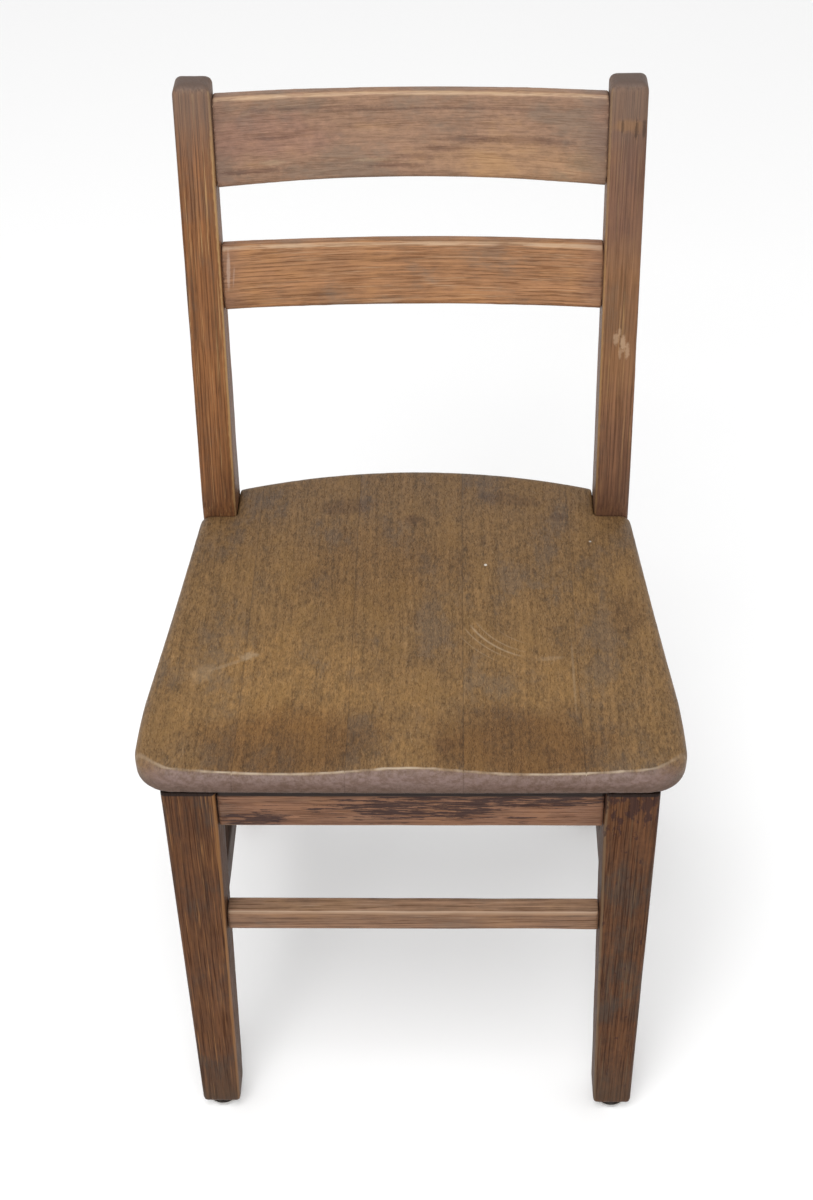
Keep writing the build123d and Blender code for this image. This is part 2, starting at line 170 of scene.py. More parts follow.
def evenly_faced(work, voxel):
    """A closed mesh over the same shape, in even faces of a given size."""
    mesh = bpy.data.meshes.new("work")
    work.to_mesh(mesh)
    work.free()
    holder = bpy.data.objects.new("work", mesh)
    bpy.context.scene.collection.objects.link(holder)
    modifier = holder.modifiers.new("even faces", "REMESH")
    modifier.mode = "VOXEL"
    modifier.voxel_size = voxel
    graph = bpy.context.evaluated_depsgraph_get()
    result = bpy.data.meshes.new_from_object(holder.evaluated_get(graph), depsgraph=graph)
    bpy.data.objects.remove(holder)
    return result


def read_points(mesh):
    points = np.empty(len(mesh.vertices) * 3)
    mesh.vertices.foreach_get("co", points)
    return points.reshape(-1, 3)


def read_normals(mesh):
    normals = np.empty(len(mesh.vertices) * 3)
    mesh.vertices.foreach_get("normal", normals)
    return normals.reshape(-1, 3)


def read_edges(mesh):
    edges = np.empty(len(mesh.edges) * 2, dtype=np.int64)
    mesh.edges.foreach_get("vertices", edges)
    return edges.reshape(-1, 2)


def relaxed(points, edges, rounds):
    """The points, each moved halfway to the middle of its neighbours, several times."""
    near, far = edges.T
    count = len(points)
    neighbours = np.maximum(np.bincount(edges.ravel(), minlength=count), 1)[:, None]
    for _ in range(rounds):
        total = np.stack([
            np.bincount(near, points[far, axis], count) + np.bincount(far, points[near, axis], count)
            for axis in range(3)], axis=1)
        points = 0.5 * points + 0.5 * total / neighbours
    return points


def noise_at(points, sizes, seed):
    """Smooth noise, about -1 to 1, with a wavelength of its own along each axis."""
    shift = Vector((31.7 * seed, 17.3 * seed, 11.9 * seed))
    scaled = points / np.array(sizes)
    return np.array([noise.noise(Vector(p) + shift) for p in scaled])


def add_value(mesh, name, values):
    """Stores one number per point, which the materials read by name."""
    layer = mesh.attributes.new(name, "FLOAT", "POINT")
    layer.data.foreach_set("value", values.astype(np.float32))


def age(mesh, grain, seed, arris_wear=0.7, waviness=0.12):
    """Rounds the arrises, chips them a little along the grain, and makes the faces slightly uneven.
    The deepest chip and dip are in millimetres."""
    edges = read_edges(mesh)
    points = relaxed(read_points(mesh), edges, ROUNDING_ROUNDS)
    mesh.vertices.foreach_set("co", points.ravel())
    mesh.update()
    normals = read_normals(mesh)
    bulge = np.einsum("ij,ij->i", points - relaxed(points, edges, LEVELLING_ROUNDS), normals)
    convex = np.clip(bulge / (ARRIS_HEIGHT * MM), -1.0, 1.0)
    sizes = np.array(CHIP_SIZES[grain]) * MM
    chips = np.clip(noise_at(points, sizes, seed) - CHIP_LIMIT, 0.0, 1.0)
    dips = 0.5 + 0.5 * noise_at(points, sizes * BROAD, seed + 0.37)
    depth = arris_wear * MM * np.clip(convex, 0.0, 1.0) * chips + waviness * MM * dips
    points = points - normals * depth[:, None]
    mesh.vertices.foreach_set("co", points.ravel())
    mesh.shade_smooth()
    mesh.update()
    add_value(mesh, "arris", convex)
    add_value(mesh, "chipped", chips)


def show(mesh, name, node, material):
    """Puts a mesh in the scene in place of a CAD node."""
    piece = bpy.data.objects.new(name, mesh)
    bpy.context.scene.collection.objects.link(piece)
    mesh.materials.clear()
    mesh.materials.append(material)
    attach(piece, "root")
    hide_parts(node)


# ---------------------------------------------------------------------------------------------
# Node trees

THROUGH = 1000.0          # mm: the depth of a mark that is only placed across a face


class Tree:
    """A material's node tree, with a short call for each kind of node."""

    def __init__(self, name):
        self.material = bpy.data.materials.new(name)
        self.material.use_nodes = True
        self.tree = self.material.node_tree
        self.shader = self.tree.nodes["Principled BSDF"]

    def node(self, kind, inputs=(), **settings):
        """A node with its settings, and its inputs by position or name: a number, or another output."""
        made = self.tree.nodes.new(kind)
        for key, value in settings.items():
            setattr(made, key, value)
        for key, value in dict(inputs).items():
            if isinstance(value, bpy.types.NodeSocket):
                self.tree.links.new(value, made.inputs[key])
            else:
                made.inputs[key].default_value = value
        return made

    def math(self, operation, a, b=0.0, clamp=False):
        return self.node("ShaderNodeMath", {0: a, 1: b}, operation=operation, use_clamp=clamp).outputs[0]

    def times(self, a, b):
        return self.math("MULTIPLY", a, b)

    def plus(self, a, b):
        return self.math("ADD", a, b)

    def minus(self, a, b):
        return self.math("SUBTRACT", a, b)

    def size(self, value):
        """The value without its sign."""
        return self.math("ABSOLUTE", value)

    def swing(self, value, strength):
        """How far a noise lies above or below its middle, times a strength."""
        return self.times(self.minus(value, 0.5), strength)

    def scaled(self, vector, factors):
        return self.node("ShaderNodeVectorMath", {0: vector, 1: factors}, operation="MULTIPLY").outputs[0]

    def moved(self, vector, by):
        return self.node("ShaderNodeVectorMath", {0: vector, 1: by}, operation="ADD").outputs[0]

    def length(self, vector):
        return self.node("ShaderNodeVectorMath", {0: vector}, operation="LENGTH").outputs["Value"]

    def noise(self, vector, detail=2.0, rough=0.5):
        """Noise from 0 to 1, with a wavelength of about one unit."""
        inputs = {"Vector": vector, "Scale": 1.0, "Detail": detail, "Roughness": rough}
        return self.node("ShaderNodeTexNoise", inputs).outputs[0]

    def step(self, value, low, high, to_low=0.0, to_high=1.0):
        """A smooth change from one value to another, as the input goes from low to high."""
        inputs = {"Value": value, "From Min": low, "From Max": high, "To Min": to_low, "To Max": to_high}
        return self.node("ShaderNodeMapRange", inputs, interpolation_type="SMOOTHSTEP").outputs[0]

    def mix(self, factor, a, b, blend="MIX"):
        """Two colours, mixed by a factor."""
        made = self.node("ShaderNodeMix", {0: factor}, data_type="RGBA", blend_type=blend)
        for index, value in ((6, a), (7, b)):
            if isinstance(value, bpy.types.NodeSocket):
                self.tree.links.new(value, made.inputs[index])
            else:
                made.inputs[index].default_value = (*value, 1.0)
        return made.outputs[2]

    def value(self, name):
        """A number stored on the mesh."""
        return self.node("ShaderNodeAttribute", attribute_name=name).outputs["Fac"]

    def place(self):
        """The place on the object, in millimetres."""
        where = self.node("ShaderNodeTexCoord").outputs["Object"]
        return self.scaled(where, (1.0 / MM,) * 3)

    def along(self, axis):
        """The place along one axis, in millimetres."""
        return self.node("ShaderNodeSeparateXYZ", {0: self.place()}).outputs[axis]

    def normal(self):
        return self.node("ShaderNodeNewGeometry").outputs["Normal"]

    def facing(self, axis):
        """How far the surface faces along one axis, from -1 to 1."""
        return self.node("ShaderNodeSeparateXYZ", {0: self.normal()}).outputs[axis]

    def distance(self, centre, radii, turn=(0.0, 0.0, 0.0)):
        """The distance from a centre, 1 on the surface of an ellipsoid turned by three angles."""
        angles = [radians(angle) for angle in turn]
        inputs = {"Vector": self.place(), "Location": centre, "Rotation": angles, "Scale": radii}
        return self.length(self.node("ShaderNodeMapping", inputs, vector_type="TEXTURE").outputs[0])

    def spot(self, centre, radii, turn=(0.0, 0.0, 0.0), ragged=0.5):
        """1 inside an ellipsoid and 0 outside, with a soft and ragged rim."""
        frequency = min(max(0.9 / min(radii), 0.03), 0.35)
        edge = self.noise(self.scaled(self.place(), (frequency,) * 3), detail=5.0, rough=0.7)
        distance = self.distance(centre, radii, turn)
        return self.step(self.plus(distance, self.swing(edge, 2.0 * ragged)), 1.2, 0.5)

    def arc(self, centre, radius, width):
        """1 on a thin ring around an upright axis, and 0 away from it."""
        off = self.size(self.minus(self.distance(centre, (radius, radius, THROUGH)), 1.0))
        return self.step(off, width / radius, 0.2 * width / radius)

    def finish(self, colour, roughness, height, depth):
        """Joins colour, roughness and relief to the shader; depth is the relief's, in millimetres."""
        bump = self.node("ShaderNodeBump", {"Height": height, "Distance": depth * MM})
        self.tree.links.new(colour, self.shader.inputs["Base Color"])
        self.tree.links.new(roughness, self.shader.inputs["Roughness"])
        self.tree.links.new(bump.outputs[0], self.shader.inputs["Normal"])
        return self.material


# ---------------------------------------------------------------------------------------------
# Colours and looks

# near black: dirt in joints and chips, and also painted shade under the seat
GRIME_AND_SHADE = (0.012, 0.005, 0.003)
PALE = (0.33, 0.24, 0.15)          # bare wood in a scratch
BARE = (0.40, 0.27, 0.17)          # freshly scuffed wood
GOLD = (0.27, 0.135, 0.050)        # thin varnish
OLD_VARNISH = (0.022, 0.008, 0.007)
OLD_GREY = (0.125, 0.090, 0.072)   # handled, weathered varnish
DUST = (0.60, 0.56, 0.50)
RUST = (0.16, 0.07, 0.035)
NOSE_HIGHLIGHT = (0.38, 0.30, 0.22)     # painted highlight along the seat's front edge
NOSE_DARK = (0.108, 0.066, 0.050)
NOSE_PALE = (0.180, 0.122, 0.110)
END_GRAIN = (0.135, 0.085, 0.074)

# A look of wood:
#   base, worn       the colour of the varnished wood, and of the wood where it is rubbed
#   pores, fibres, mottle, rings, patches    how strongly each of them shows
#   length           the fibres' length, against the apron's
#   ring, wander     the rings' spacing and how far they stray, in mm
#   pith             where the pith lies beside the piece's middle, in mm
#   rake, bow        how the grain follows a piece that is raked or bowed backwards
#   rub              the way the rubbed arrises face; these arrises also carry a painted highlight
#   rough, shine     the roughness and the specular level
POST_LEFT = dict(base=(0.172, 0.070, 0.024), worn=(0.40, 0.24, 0.10), pores=0.65, fibres=2.3,
                 mottle=0.4, rings=0.20, patches=0.5, length=2.0, ring=2.6, wander=3.0,
                 pith=(60.0, 90.0), rake=0.14, bow=0.0, rub=(0.75, -0.65, 0.1), rough=0.48, shine=0.22)
POST_RIGHT = dict(POST_LEFT, base=(0.150, 0.070, 0.035), worn=(0.31, 0.18, 0.075), patches=0.8,
                  rub=(-0.75, -0.65, 0.1))
CREST = dict(base=(0.232, 0.136, 0.087), worn=(0.42, 0.28, 0.17), pores=0.30, fibres=0.75,
             mottle=0.9, rings=0.03, patches=1.0, length=0.5, ring=9.0, wander=16.0,
             pith=(26.0, 8.0), rake=0.0, bow=4.7e-4, rub=(0.0, -0.75, 0.65), rough=0.48, shine=0.22)
SLAT = dict(CREST, base=(0.268, 0.132, 0.062), pores=0.60, fibres=1.8, mottle=0.4, rings=0.12,
            patches=0.8, length=0.8, ring=3.6, wander=8.0, pith=(30.0, 60.0), bow=3.5e-4)
LEG_LEFT = dict(base=(0.076, 0.029, 0.010), worn=(0.24, 0.110, 0.036), pores=0.7, fibres=2.5,
                mottle=0.8, rings=0.24, patches=0.9, length=1.5, ring=3.6, wander=4.0,
                pith=(70.0, 50.0), rake=0.0, bow=0.0, rub=(0.75, -0.65, 0.0), rough=0.55, shine=0.14)
LEG_RIGHT = dict(LEG_LEFT, worn=(0.13, 0.075, 0.036), fibres=2.2, mottle=1.3, patches=1.1,
                 rub=(-0.75, -0.65, 0.0))
APRON = dict(base=(0.160, 0.076, 0.042), worn=(0.23, 0.13, 0.07), pores=0.7, fibres=1.6,
             mottle=0.4, rings=0.18, patches=0.7, length=1.0, ring=6.0, wander=12.0,
             pith=(24.0, 10.0), rake=0.0, bow=0.0, rub=(0.0, -0.7, -0.7), rough=0.52, shine=0.2)
STRETCHER = dict(APRON, base=(0.176, 0.095, 0.054), worn=(0.30, 0.19, 0.12), pores=0.6, fibres=2.0,
                 rings=0.14, ring=5.0, wander=6.0, pith=(40.0, 40.0), rub=(0.0, -0.7, 0.7))
# painted shade: the rails hidden under the seat get a darker copy of the apron's look
SHADED_INNER_RAIL = dict(APRON, base=(0.070, 0.040, 0.028), worn=(0.12, 0.07, 0.045))
SEAT = dict(base=(0.158, 0.089, 0.035), worn=(0.27, 0.17, 0.08), pores=0.45, fibres=2.0,
            mottle=1.3, rings=0.05, patches=0.8, length=0.07, ring=5.5, wander=9.0,
            pith=(70.0, 120.0), rake=0.0, bow=0.0, rub=(0.0, 0.0, -1.0), rough=0.48, shine=0.24)
RAW_OAK = dict(base=(0.22, 0.15, 0.09), worn=(0.30, 0.22, 0.14), pores=0.4, fibres=1.0,
               mottle=0.3, rings=0.2, patches=0.4, length=1.0, ring=4.0, wander=6.0,
               pith=(40.0, 60.0), rake=0.0, bow=0.0, rub=(0.0, 0.0, -1.0), rough=0.75, shine=0.25)

# Noises of the wood, in waves per millimetre across and along the grain
FIBRES = (0.55, 0.011)
PORES = (1.1, 0.024)
PALE_FIBRES = (0.85, 0.016)
STREAKS = (0.16, 0.005)
MOTTLES = (0.20, 0.13)
PATCHES = (0.023, 0.014)
WANDERINGS = (0.02, 0.0035)

RAKE_HEIGHT = 406.0                                # mm: the back posts bend at about this height
SAWN_SLANT = (radians(0.6), radians(-0.4), 0.0)    # no piece is sawn quite along its grain
PIECE_SHIFT = 733.0                                # mm along the grain, from one piece to the next
PORE_TINT = (0.40, 0.30, 0.22)                     # times the base colour
WOOD_RELIEF = 0.12                                 # mm


def multiplied(colour, factors):
    return tuple(channel * factor for channel, factor in zip(colour, factors))


def tinted(colour, factor):
    return multiplied(colour, (factor,) * 3)


def greyed(colour):
    """A duller colour of the same depth."""
    mean = sum(colour) / 3.0
    return (1.18 * mean, 0.90 * mean, 0.68 * mean)


def warmed(colour):
    """A paler, more golden colour."""
    return multiplied(colour, (1.25, 1.22, 0.95))


# ---------------------------------------------------------------------------------------------
# Materials

def grain_place(tree, grain, look, seed):
    """The place in millimetres with Z along the grain, moved so that no two pieces match."""
    x, y, z = (tree.along(axis) for axis in range(3))
    from_bend = tree.size(tree.minus(z, RAKE_HEIGHT))
    y = tree.minus(y, tree.times(from_bend, look["rake"]))
    y = tree.plus(y, tree.times(tree.times(x, x), look["bow"]))
    order = {"X": (y, z, x), "Y": (z, x, y), "Z": (x, y, z)}[grain]
    turned = tree.node("ShaderNodeCombineXYZ", dict(enumerate(order))).outputs[0]
    inputs = {"Vector": turned, "Location": (0.0, 0.0, PIECE_SHIFT * seed), "Rotation": SAWN_SLANT}
    return tree.node("ShaderNodeMapping", inputs).outputs[0]


def wood_noise(tree, place, waves, detail=2.0, rough=0.5, length=1.0):
    """Noise drawn out along the grain."""
    across, along = waves
    return tree.noise(tree.scaled(place, (across, across, along / length)), detail, rough)


def rings_around(tree, place, middle, look):
    """The growth rings about a pith beside the piece's middle: 1 in the porous wood of each ring."""
    wander = wood_noise(tree, place, WANDERINGS, detail=3.0)
    away = (look["pith"][0] - middle[0], look["pith"][1] - middle[1], 0.0)
    distance = tree.length(tree.scaled(tree.moved(place, away), (1.0, 1.0, 0.0)))
    distance = tree.plus(distance, tree.times(wander, 2.0 * look["wander"]))
    phase = tree.math("FRACT", tree.times(distance, 1.0 / look["ring"]))
    return tree.step(phase, 0.75, 0.08)


def varnished(tree, place, fibre, patch, early, look):
    """The colour of the wood under its varnish, without pores and wear."""
    streak = wood_noise(tree, place, STREAKS)
    mottle = wood_noise(tree, place, MOTTLES, detail=4.0, rough=0.7)
    tone = tree.swing(fibre, look["fibres"])
    tone = tree.plus(tone, tree.swing(streak, 0.35 * look["fibres"]))
    tone = tree.plus(tone, tree.swing(mottle, look["mottle"]))
    tone = tree.plus(tone, tree.swing(patch, look["patches"]))
    tone = tree.minus(tone, tree.times(tree.minus(early, 0.4), look["rings"]))
    tone = tree.math("ADD", tone, 0.5, clamp=True)
    colour = tree.mix(tone, tinted(look["base"], 0.5), tinted(look["base"], 1.5))
    grey = tree.step(patch, 0.50, 0.36, 0.0, 0.45 * look["patches"])
    colour = tree.mix(grey, colour, greyed(look["base"]))
    warm = tree.step(patch, 0.50, 0.66, 0.0, 0.5 * look["patches"])
    return tree.mix(warm, colour, warmed(look["base"]))


def rubbed_and_highlighted_arrises(tree, pale, look):
    """1 where an arris is rubbed down to pale wood. Only arrises that face one way get it, which also
    makes it a painted highlight.
    """
    inputs = {0: tree.normal(), 1: look["rub"]}
    turned = tree.node("ShaderNodeVectorMath", inputs, operation="DOT_PRODUCT").outputs["Value"]
    toward_highlight = tree.step(turned, 0.80, 0.97)
    wear = tree.plus(tree.value("arris"), tree.times(tree.value("chipped"), 0.6))
    wear = tree.plus(wear, tree.swing(pale, 1.6))
    return tree.times(tree.step(wear, 0.30, 0.95), toward_highlight)


def end_grain(tree, grain, colour):
    """Turns grey where the surface cuts across the grain."""
    end_on = tree.size(tree.facing("XYZ".index(grain)))
    return tree.mix(tree.step(end_on, 0.45, 0.90, 0.0, 0.7), colour, END_GRAIN)


def oak(name, grain, look, seed, middle, marks=None):
    """Old varnished oak. The grain runs along one axis; growth rings, open pores, worn arrises with a
    painted highlight and grey end grain follow from the place and from what the mesh stores. Marks come
    on top."""
    tree = Tree(name)
    place = grain_place(tree, grain, look, seed)
    across = {"X": (1, 2), "Y": (2, 0), "Z": (0, 1)}[grain]
    early = rings_around(tree, place, [middle[axis] for axis in across], look)
    length = look["length"]
    fibre = wood_noise(tree, place, FIBRES, detail=5.0, rough=0.7, length=length)
    dash = wood_noise(tree, place, PORES, rough=0.6, length=length)
    pale = wood_noise(tree, place, PALE_FIBRES, detail=3.0, rough=0.6, length=length)
    patch = wood_noise(tree, place, PATCHES, detail=7.0, rough=0.68)

    colour = varnished(tree, place, fibre, patch, early, look)
    scratched = tree.step(pale, 0.56, 0.70, 0.0, 0.26 * look["fibres"])
    colour = tree.mix(scratched, colour, look["worn"])
    pores = tree.step(tree.plus(dash, tree.times(early, 0.06)), 0.55, 0.66)
    colour = tree.mix(tree.times(pores, look["pores"]), colour, multiplied(look["base"], PORE_TINT))
    rubbed = rubbed_and_highlighted_arrises(tree, pale, look)
    colour = tree.mix(tree.times(rubbed, 0.8), colour, look["worn"])
    colour = end_grain(tree, grain, colour)
    if marks:
        colour = marks(tree, colour)

    roughness = tree.plus(tree.swing(patch, 0.3), look["rough"])
    roughness = tree.plus(roughness, tree.times(pores, 0.2))
    roughness = tree.minus(roughness, tree.times(rubbed, 0.08))
    relief = tree.minus(tree.times(fibre, 0.5), tree.times(pores, 0.8))
    tree.shader.inputs["Specular IOR Level"].default_value = look["shine"]
    return tree.finish(colour, roughness, relief, WOOD_RELIEF)


def steel(name, colour, rough, rust):
    """Dull steel: brushed, uneven and lightly rusted."""
    tree = Tree(name)
    place = tree.place()
    brushed = tree.noise(tree.scaled(place, (0.4, 0.4, 6.0)), detail=3.0)
    spots = tree.noise(tree.scaled(place, (0.5, 0.5, 0.5)), detail=5.0, rough=0.7)
    shade = tree.mix(tree.step(brushed, 0.3, 0.7), tinted(colour, 0.7), colour)
    rusted = tree.step(spots, 0.62 - 0.2 * rust, 0.75)
    shade = tree.mix(tree.times(rusted, rust), shade, RUST)
    roughness = tree.plus(tree.times(rusted, 0.35), tree.plus(tree.times(brushed, 0.2), rough))
    metallic = tree.minus(1.0, tree.times(rusted, 0.8 * rust))
    tree.tree.links.new(metallic, tree.shader.inputs["Metallic"])
    return tree.finish(shade, roughness, tree.plus(brushed, tree.times(spots, 2.0)), 0.06)


def rubber(name):
    """Dusty black rubber."""
    tree = Tree(name)
    dust = tree.noise(tree.scaled(tree.place(), (0.6, 0.6, 0.6)), detail=5.0, rough=0.7)
    colour = tree.mix(tree.step(dust, 0.45, 0.75, 0.0, 0.6), (0.018, 0.016, 0.015), (0.10, 0.09, 0.08))
    return tree.finish(colour, tree.plus(tree.times(dust, 0.3), 0.6), dust, 0.08)


# ---------------------------------------------------------------------------------------------
# Marks. All places and sizes are in millimetres, and heights are above the floor.

def box_mm(node):
    """The lowest and highest corner of a CAD node, in millimetres."""
    return [[value / MM for value in corner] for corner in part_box(node)]


def marked(tree, colour, marks, blend="MIX", where=1.0):
    """Adds soft ragged marks: centre, radii, turn, how ragged, strength and colour of each."""
    for centre, radii, turn, ragged, strength, tint in marks:
        spot = tree.times(tree.spot(centre, radii, turn, ragged), where)
        colour = tree.mix(tree.times(spot, strength), colour, tint, blend)
    return colour


def on_front(tree):
    """1 on the faces that look forwards, and 0 on the sides and the back."""
    return tree.step(tree.facing(1), -0.25, -0.60)


# Marks on the seat

SEAT_BOARDS = ["left_outer", "left_inner", "middle", "right_inner", "right_outer"]
SEAT_BOX = box_mm("seat_board_middle")
SEAT_FRONT = SEAT_BOX[0][1]
SEAT_DEPTH = SEAT_BOX[1][1] - SEAT_FRONT
SEAT_TOP = SEAT_BOX[1][2]
GLUE_LINES = [box_mm("seat_board_" + part)[0][0] for part in SEAT_BOARDS[1:]]
MARK_DEPTH = 60.0         # how far a mark on the seat reaches up and down, to follow the hollows

# Stains multiply the colour of the wood, and scratches replace it
HOLLOW = (0.74, 0.66, 0.58)
GOLDEN = (1.30, 1.28, 1.16)
SMOKY = (0.58, 0.54, 0.60)
FAINT = (0.150, 0.115, 0.085)


def on_seat(x, y, half_length, half_width, turn, ragged, strength, tint):
    """A mark on the seat's top, y millimetres back from its front edge."""
    return ((x, SEAT_FRONT + y, SEAT_TOP), (half_length, half_width, MARK_DEPTH), (0.0, 0.0, turn),
            ragged, strength, tint)


SEAT_STAINS = [
    on_seat(-105, 108, 100, 74, 0, 0.7, 0.80, GOLDEN),
    on_seat(95, 112, 80, 40, 0, 0.7, 0.45, GOLDEN),
    on_seat(0, 60, 26, 50, 0, 0.5, 0.45, GOLDEN),
    on_seat(-97, 38, 80, 50, 4, 0.45, 1.0, HOLLOW),
    on_seat(88, 38, 80, 50, -4, 0.45, 1.0, HOLLOW),
    on_seat(-60, 331, 30, 12, 8, 0.7, 0.55, SMOKY),
    on_seat(86, 341, 34, 10, -10, 0.7, 0.5, SMOKY),
    on_seat(-2, 313, 9, 8, 0, 0.7, 0.6, SMOKY),
    on_seat(127, 316, 7, 7, 0, 0.7, 0.5, SMOKY),
    on_seat(180, 190, 16, 30, 0, 0.8, 0.4, SMOKY),
    on_seat(27, 34, 9, 10, 0, 0.7, 0.6, SMOKY),
    on_seat(-30, 250, 90, 60, 20, 0.9, 0.35, HOLLOW),
]
SEAT_SCRATCHES = [
    on_seat(106, 229, 10, 6, 0, 0.8, 0.22, FAINT),
    on_seat(-135, 142, 8, 5, 25, 0.9, 0.50, PALE),
    on_seat(-150, 131, 20, 2.2, 30, 0.8, 0.25, PALE),
    on_seat(-172, 118, 14, 9, 60, 0.9, 0.22, PALE),
    on_seat(114, 140, 12, 3.0, 4, 0.9, 0.22, PALE),
    on_seat(132, 118, 1.2, 48, 0, 0.6, 0.24, PALE),
    on_seat(62, 254, 1.5, 1.5, 0, 0.0, 0.85, DUST),
    on_seat(154, 283, 1.2, 1.2, 0, 0.0, 0.5, DUST),
]

# Thin round scratches about one centre, which show in a patch beside it
SWIRL_CENTRE = (118.0, SEAT_FRONT + 216.0, SEAT_TOP)
SWIRL_PATCH = (63.0, SEAT_FRONT + 158.0, SEAT_TOP)
SWIRL_PATCH_RADII = (30.0, 26.0, MARK_DEPTH)
SWIRLS = [                # radius, width and strength
    (72, 1.0, 0.38),
    (78, 1.4, 0.60),
    (84, 0.9, 0.40),
    (62, 0.8, 0.30),
    (92, 0.8, 0.24),
    (52, 0.8, 0.20),
]

CORNER_INSIDE = 182.0     # the grey nose is whole from here to the middle
CORNER_OUTSIDE = 210.0    # and faint from here outwards
LINE_INSIDE = 150.0       # the same, for its painted highlight line
LINE_OUTSIDE = 215.0


def reaches(mark, left, right):
    """Whether a mark comes between two places across the seat."""
    centre, radii = mark[:2]
    reach = 1.3 * max(radii[:2])
    return left < centre[0] + reach and centre[0] - reach < right


def seat_marks(left, right):
    """The marks on a board between two places across the seat."""
    stains = [mark for mark in SEAT_STAINS if reaches(mark, left, right)]
    scratches = [mark for mark in SEAT_SCRATCHES if reaches(mark, left, right)]
    return lambda tree, colour: seat_wear(tree, colour, stains, scratches)


def seat_wear(tree, colour, stains, scratches):
    """Dull corners at the back, dark hollows, knots, scratches, glue lines, and a nose with a painted
    highlight line and painted shade.
    """
    back = tree.step(tree.along(1), SEAT_FRONT + 0.5 * SEAT_DEPTH, SEAT_FRONT + SEAT_DEPTH)
    colour = tree.mix(back, colour, (0.84, 0.84, 0.92), "MULTIPLY")
    colour = marked(tree, colour, stains, "MULTIPLY")
    colour = marked(tree, colour, scratches)
    colour = swirled(tree, colour)
    for line in GLUE_LINES:
        off = tree.size(tree.minus(tree.along(0), line))
        colour = tree.mix(tree.step(off, 0.7, 0.1, 0.0, 0.14), colour, GRIME_AND_SHADE)
    return seat_nose(tree, colour)


def swirled(tree, colour):
    """The round scratches, as if something gritty had been turned on the seat."""
    patch = tree.spot(SWIRL_PATCH, SWIRL_PATCH_RADII, ragged=0.9)
    for radius, width, strength in SWIRLS:
        scratch = tree.times(tree.arc(SWIRL_CENTRE, radius, width), patch)
        colour = tree.mix(tree.times(scratch, strength), colour, PALE)
    return colour


def seat_nose(tree, colour):
    """Speckled grey end grain on the front edge, a painted highlight line over it, painted shade on its
    lower part and a painted shadow line under it.
    """
    forward = tree.minus(0.0, tree.facing(1))
    sideways = tree.size(tree.along(0))
    speckle = tree.noise(tree.scaled(tree.place(), (0.16, 0.16, 0.30)), detail=6.0, rough=0.72)
    ends = tree.mix(tree.step(speckle, 0.36, 0.64), NOSE_DARK, NOSE_PALE)
    inside = tree.step(sideways, CORNER_OUTSIDE, CORNER_INSIDE, 0.25, 1.0)
    fronted = tree.times(tree.step(forward, 0.28, 0.45, 0.0, 0.8), inside)
    colour = tree.mix(fronted, colour, ends)
    # painted highlight: a pale line along the upper rounding of the nose, broken by noise
    uneven = tree.noise(tree.scaled(tree.place(), (0.05, 0.05, 0.05)), detail=3.0)
    glint = tree.step(uneven, 0.35, 0.62, 0.25, 0.95)
    line = tree.times(tree.step(forward, 0.17, 0.27), tree.step(forward, 0.44, 0.30))
    line = tree.times(line, tree.step(sideways, LINE_OUTSIDE, LINE_INSIDE, 0.25, 1.0))
    colour = tree.mix(tree.times(line, glint), colour, NOSE_HIGHLIGHT)
    # painted shade: the lower part of the nose is darkened, then a painted shadow line runs under it
    low = tree.step(tree.along(2), SEAT_TOP - 10.0, SEAT_TOP - 21.0)
    colour = tree.mix(low, colour, (0.62, 0.55, 0.46), "MULTIPLY")
    return tree.mix(tree.step(tree.along(2), SEAT_TOP - 22.5, SEAT_TOP - 25.0), colour, GRIME_AND_SHADE)


# Marks on the posts

RIGHT_POST = box_mm("back_post_right")
POST_X = 0.5 * (RIGHT_POST[0][0] + RIGHT_POST[1][0])
POST_Y = RIGHT_POST[0][1] + 60.0
POST_TOP = RIGHT_POST[1][2]
POST_MAUVE = (0.120, 0.066, 0.050)
POST_UMBER = (0.085, 0.040, 0.024)
POST_ABOVE_SEAT = (0.060, 0.026, 0.014)
POST_FOOT = (0.065, 0.048, 0.034)

RIGHT_POST_MARKS = [      # across, height, half width, half height, strength, colour
    (0, 740, 40, 60, 0.45, POST_MAUVE),
    (-3, 798, 12, 6, 0.35, GOLD),
    (0, 630, 40, 80, 0.22, GOLD),
    (0, 480, 40, 60, 0.30, POST_UMBER),
    (4, 795, 1.4, 8, 0.55, GRIME_AND_SHADE),
    (-7, 797, 1.2, 7, 0.50, GRIME_AND_SHADE),
    (10, 796, 1.6, 9, 0.50, GRIME_AND_SHADE),
    (-4, 616, 2.5, 6, 0.50, BARE),
    (2, 612, 2.5, 8, 0.60, BARE),
    (6, 605, 2.0, 8, 0.50, BARE),
    (0, 603, 1.5, 6, 0.40, BARE),
    (-1, 622, 1.6, 4, 0.40, BARE),
]


def post_marks(tree, colour):
    """Grey at the top, where hands hold it, darker just above the seat, and dirty where it meets the
    floor.
    """
    ragged = tree.noise(tree.scaled(tree.place(), (0.05, 0.05, 0.02)), detail=4.0)
    height = tree.plus(tree.along(2), tree.swing(ragged, 60.0))
    colour = tree.mix(tree.step(height, POST_TOP - 95.0, POST_TOP - 10.0, 0.0, 0.62), colour, OLD_GREY)
    rim = tree.step(tree.along(2), POST_TOP - 7.0, POST_TOP, 0.0, 0.45)
    colour = tree.mix(rim, colour, tinted(OLD_GREY, 0.45))
    colour = tree.mix(tree.step(height, SEAT_TOP + 60.0, SEAT_TOP, 0.0, 0.5), colour, POST_ABOVE_SEAT)
    return tree.mix(tree.step(height, 70.0, 15.0, 0.0, 0.5), colour, POST_FOOT)


